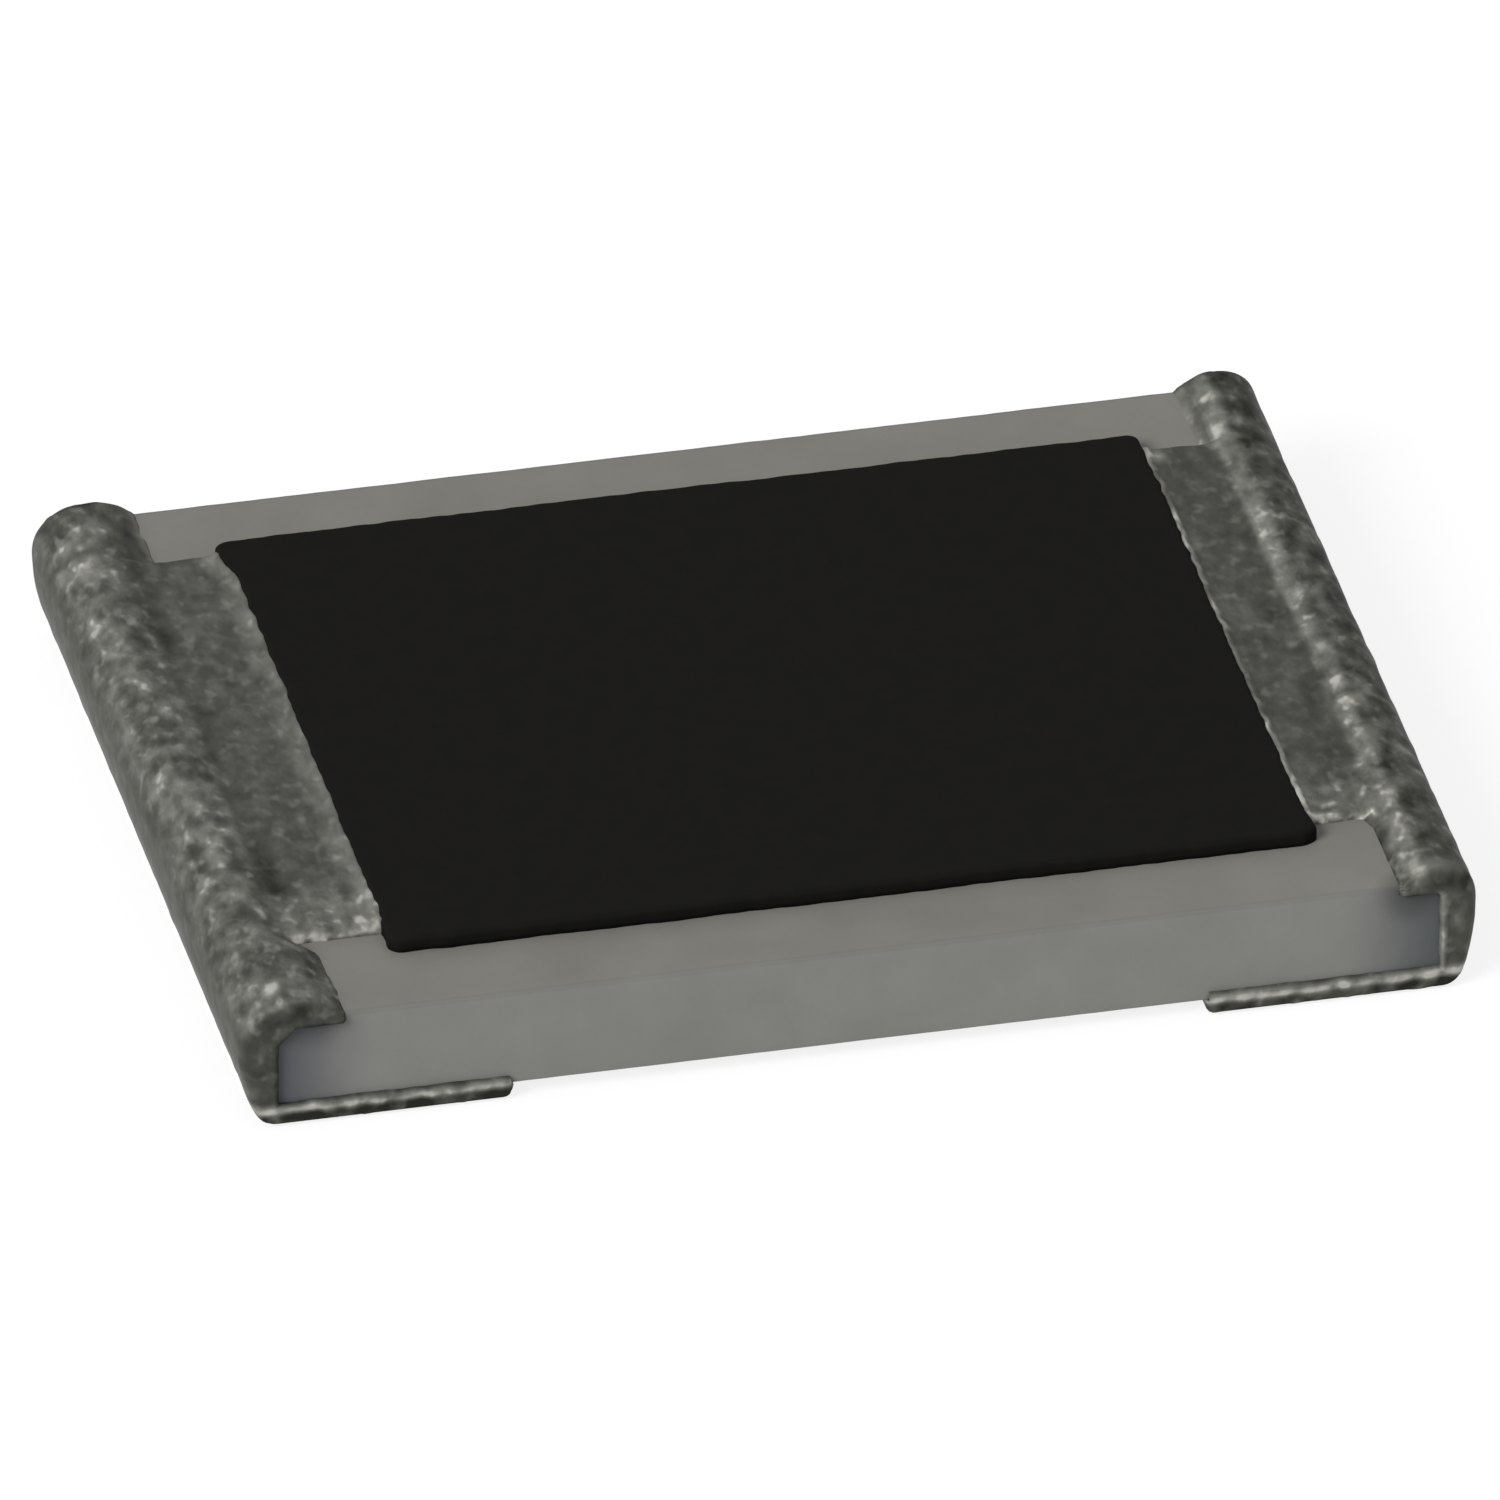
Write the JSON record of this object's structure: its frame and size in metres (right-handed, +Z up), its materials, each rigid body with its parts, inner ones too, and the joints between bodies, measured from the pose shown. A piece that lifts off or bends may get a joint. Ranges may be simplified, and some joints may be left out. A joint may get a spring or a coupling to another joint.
{
  "type": "chip resistor",
  "caption": "Flat rectangular surface-mount chip resistor: pale ceramic plate, black coat over a trimmed resistive film, and rounded tin-plated end terminations.",
  "frame": {"origin": "centre of the chip's footprint on the plane of its solder lands", "axes": "+X along the chip from one termination to the other, +Y across it, +Z up through the black coat"},
  "size_m": [0.0032, 0.0026, 0.0004],
  "materials": {
    "ceramic": "matt fired alumina",
    "overcoat": "matt black resin",
    "tin": "matt grained tin plate",
    "nickel": "plated nickel",
    "end_paste": "cured silver-filled paste",
    "silver_print": "fired silver print",
    "resistive_film": "fired metal oxide and glass film",
    "inner_glass": "fired glass"
  },
  "bodies": {
    "root": {"ceramic_substrate": "ceramic", "top_electrode_left": "silver_print", "top_electrode_right": "silver_print", "bottom_electrode_left": "silver_print", "bottom_electrode_right": "silver_print", "resistive_element": "resistive_film", "inner_glass_coat": "inner_glass", "protective_overcoat": "overcoat", "end_electrode_left": "end_paste", "end_electrode_right": "end_paste", "nickel_barrier_left": "nickel", "nickel_barrier_right": "nickel", "tin_plating_left": "tin", "tin_plating_right": "tin"}
  },
  "joints": []
}
